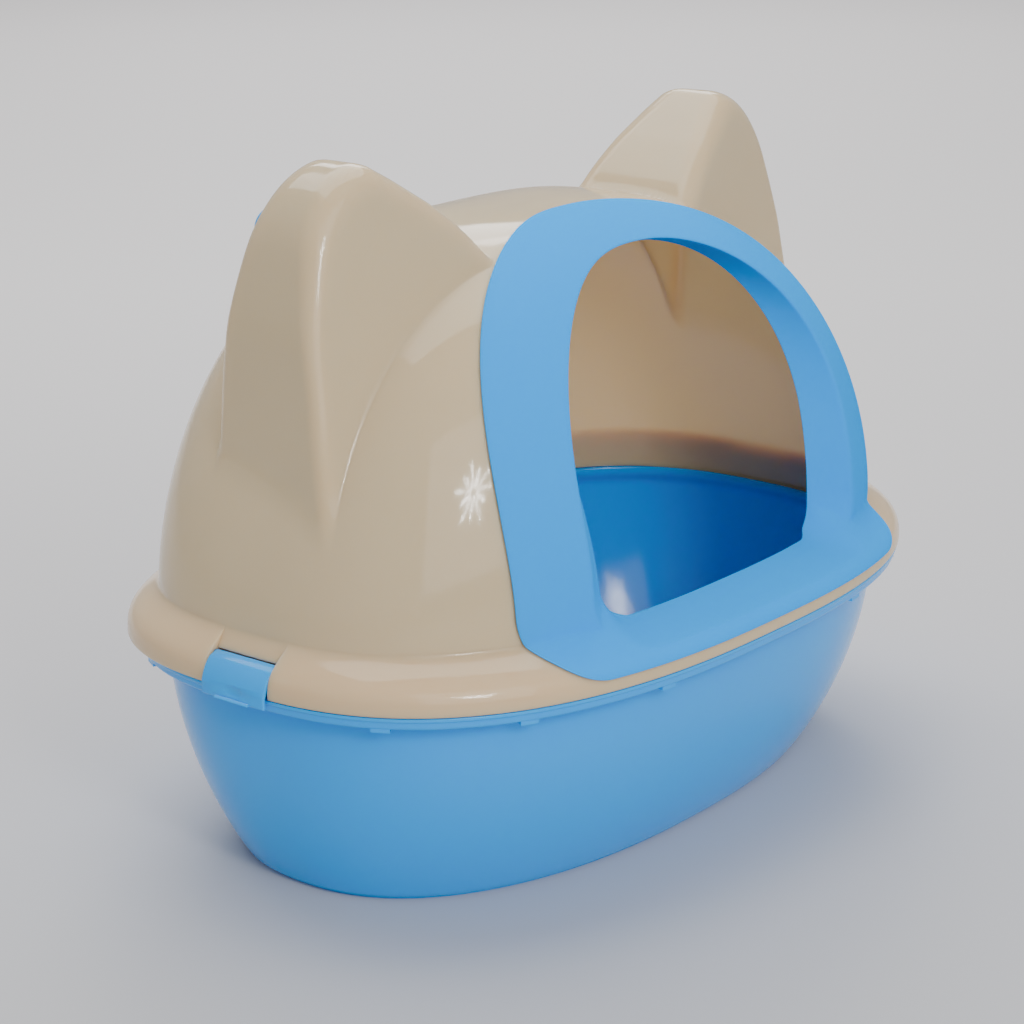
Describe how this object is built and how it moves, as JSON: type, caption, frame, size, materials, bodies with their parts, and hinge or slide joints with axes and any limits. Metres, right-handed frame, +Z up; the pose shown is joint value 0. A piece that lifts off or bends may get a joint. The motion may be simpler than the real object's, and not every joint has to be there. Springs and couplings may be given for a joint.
{
  "type": "hooded cat litter box",
  "caption": "Deep oval litter tray under a domed, cat-eared hood with an arched front entry frame, side clips and a hook button.",
  "frame": {"origin": "middle of the tray's underside, on the surface it stands on", "axes": "+X along the box's long side, from one clip to the other; +Y from the entry to the rear; +Z up"},
  "size_m": [0.5684, 0.3746, 0.428],
  "materials": {
    "tray": "satin, moulded sky blue",
    "hood": "glossy, moulded cream",
    "entry_frame": "satin, moulded sky blue",
    "clip_left": "satin, moulded sky blue",
    "clip_right": "satin, moulded sky blue",
    "scoop_hook": "satin, moulded sky blue"
  },
  "bodies": {
    "tray": {"tray": "tray"},
    "hood": {"hood": "hood", "entry_frame": "entry_frame", "scoop_hook": "scoop_hook"},
    "clip_left": {"clip_left": "clip_left"},
    "clip_right": {"clip_right": "clip_right"}
  },
  "joints": [
    {"name": "hood_lift", "type": "slide", "parent": "tray", "child": "hood", "axis": [0, 0, 1], "range_m": [0, 0.15]},
    {"name": "clip_left_swing", "type": "hinge", "parent": "hood", "child": "clip_left", "pos_m": [-0.269, 0, 0.153], "axis": [0, 1, 0], "range_deg": [0, 70]},
    {"name": "clip_right_swing", "type": "hinge", "parent": "hood", "child": "clip_right", "pos_m": [0.269, 0, 0.153], "axis": [0, -1, 0], "range_deg": [0, 70]}
  ]
}
